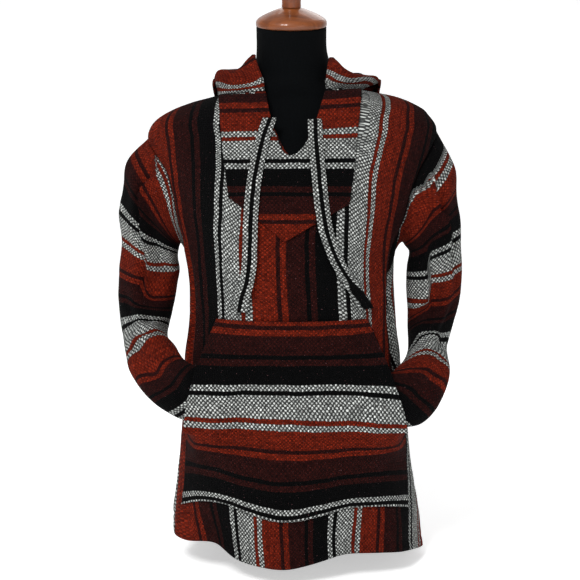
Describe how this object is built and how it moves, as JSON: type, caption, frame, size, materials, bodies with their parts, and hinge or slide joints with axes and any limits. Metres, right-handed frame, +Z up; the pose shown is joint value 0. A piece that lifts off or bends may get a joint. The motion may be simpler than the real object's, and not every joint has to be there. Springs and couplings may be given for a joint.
{
  "type": "striped baja hoodie on a limbless dress form",
  "caption": "Woven blanket-cloth pullover with a dropped hood, a kangaroo pocket and flat ties, worn by a limbless dress form with a wooden neck cap.",
  "frame": {"origin": "centre of the form's flat foot, on the surface that it stands on", "axes": "+Z up; the garment faces -Y; the wearer's left is +X"},
  "size_m": [0.5168, 0.35, 0.8746],
  "materials": {
    "blanket_cloth": "coarse plain-woven blanket cloth, napped, in rust red, maroon, black and undyed white stripes",
    "tie_cloth": "the same cloth cut narrow, a black band between two white ones",
    "jersey": "black knitted jersey stretched over the form",
    "wood": "turned hardwood, orange brown, satin varnish"
  },
  "bodies": {
    "root": {"form_torso": "jersey", "neck_cap": "wood", "finial": "wood", "front_panel": "blanket_cloth", "back_panel": "blanket_cloth", "sleeve_right": "blanket_cloth", "sleeve_left": "blanket_cloth", "bib": "blanket_cloth", "pocket": "blanket_cloth", "hood_right": "blanket_cloth", "hood_left": "blanket_cloth", "tie_right": "tie_cloth", "tie_left": "tie_cloth"}
  },
  "joints": []
}
